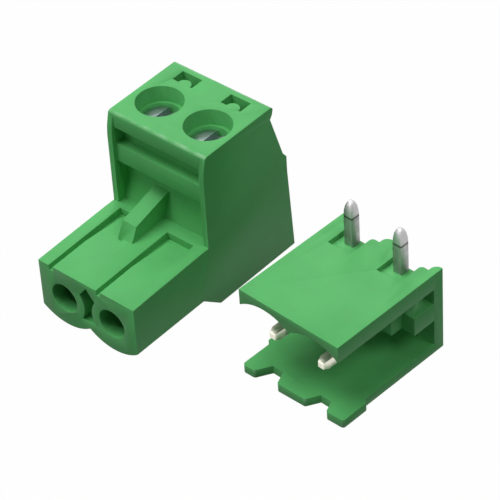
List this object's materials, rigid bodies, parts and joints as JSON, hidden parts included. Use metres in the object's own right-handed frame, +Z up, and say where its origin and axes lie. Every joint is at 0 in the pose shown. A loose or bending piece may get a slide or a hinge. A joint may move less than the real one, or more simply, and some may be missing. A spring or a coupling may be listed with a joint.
{
  "type": "pluggable terminal block",
  "caption": "Green pluggable screw terminal block with its right-angle board header lying beside it.",
  "frame": {"origin": "on the plug's resting face, midway between the axes of the two clamp screws", "axes": "+X across the poles towards the header, +Y to the wire side, +Z up along the screws"},
  "size_m": [0.0275, 0.0192, 0.0153],
  "materials": {
    "green_plastic": "satin moulded polyamide",
    "screw_steel": "zinc plated, bluish",
    "cage_metal": "nickel plated",
    "contact_metal": "tin plated strip",
    "pin_metal": "tin plated"
  },
  "bodies": {
    "housings": {"plug_housing": "green_plastic", "socket_contact_1": "contact_metal", "socket_contact_2": "contact_metal", "header_housing": "green_plastic", "header_pin_1": "pin_metal", "header_pin_2": "pin_metal"},
    "screw_1": {"clamp_screw_1": "screw_steel"},
    "screw_2": {"clamp_screw_2": "screw_steel"},
    "cage_1": {"clamp_cage_1": "cage_metal"},
    "cage_2": {"clamp_cage_2": "cage_metal"}
  },
  "joints": [
    {"name": "screw_turn_1", "type": "hinge", "parent": "housings", "child": "screw_1", "pos_m": [-0.00254, 0, 0.0123], "axis": [0, 0, -1], "range_deg": [0, 2000]},
    {"name": "cage_lift_1", "type": "slide", "parent": "housings", "child": "cage_1", "axis": [0, 0, 1], "range_m": [0, 0.0025]},
    {"name": "screw_turn_2", "type": "hinge", "parent": "housings", "child": "screw_2", "pos_m": [0.00254, 0, 0.0123], "axis": [0, 0, -1], "range_deg": [0, 2000]},
    {"name": "cage_lift_2", "type": "slide", "parent": "housings", "child": "cage_2", "axis": [0, 0, 1], "range_m": [0, 0.0025]}
  ],
  "couplings": [
    {"joint": "screw_turn_1", "follows": "cage_lift_1", "rad_per_m": 13963},
    {"joint": "screw_turn_2", "follows": "cage_lift_2", "rad_per_m": 13963}
  ]
}
